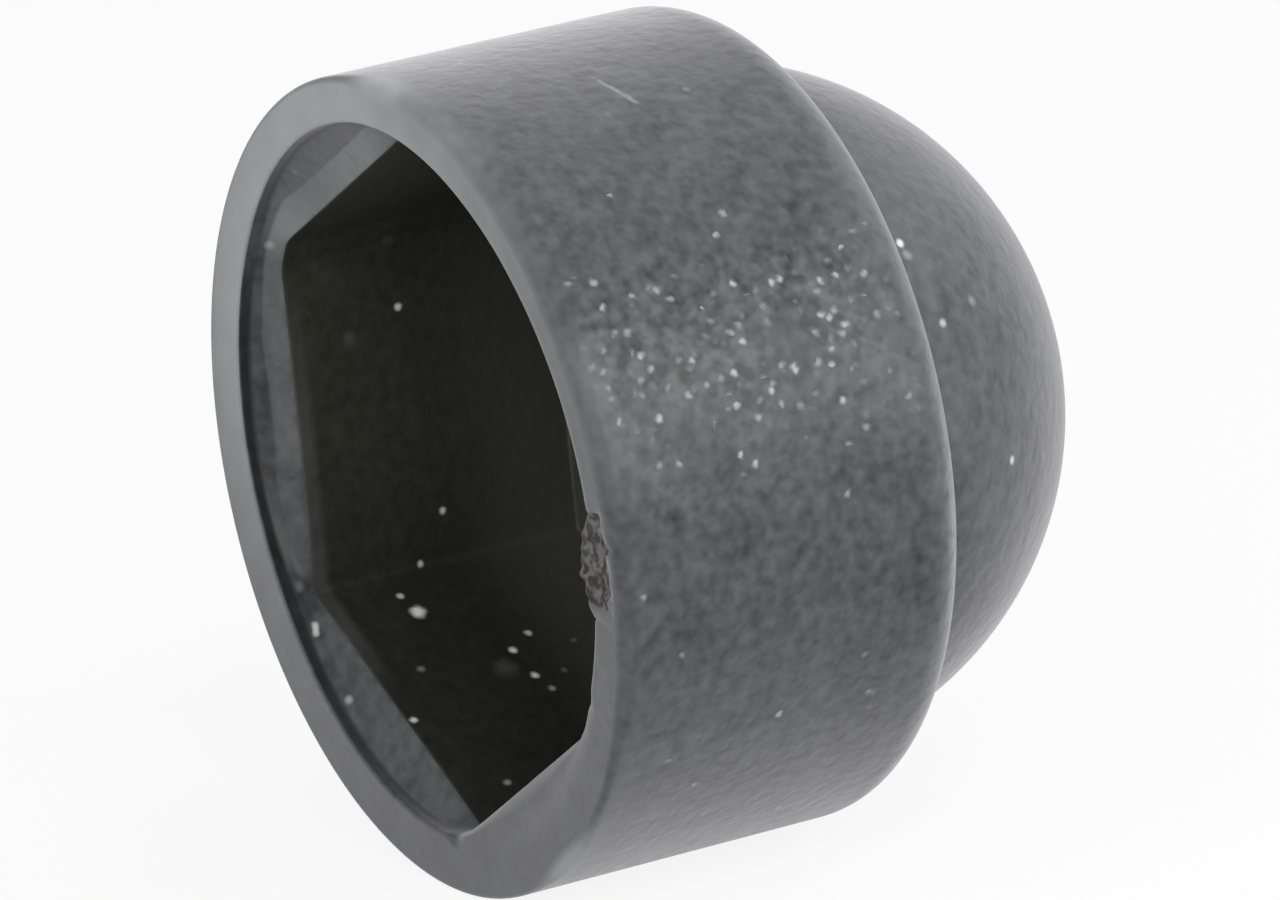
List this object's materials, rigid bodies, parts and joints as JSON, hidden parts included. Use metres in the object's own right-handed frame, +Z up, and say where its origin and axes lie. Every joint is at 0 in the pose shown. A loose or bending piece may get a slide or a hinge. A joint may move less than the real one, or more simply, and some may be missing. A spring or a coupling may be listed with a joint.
{
  "type": "wheel nut cover cap",
  "caption": "Domed black plastic cap with a round skirt and a hexagon socket, pushed onto a wheel nut to cover the nut and the stud's end.",
  "frame": {"origin": "centre of the mouth's rim circle, in the plane of the flat rim face", "axes": "+Y along the cap's axis from the mouth to the dome, as a wheel's axle lies; +Z up through one corner of the hexagon socket"},
  "size_m": [0.0254, 0.0212, 0.0254],
  "materials": {
    "cap_plastic": "black polyethylene with a fine matt spark-eroded grain, smoother in the socket"
  },
  "bodies": {
    "root": {"cover_cap": "cap_plastic"}
  },
  "joints": []
}
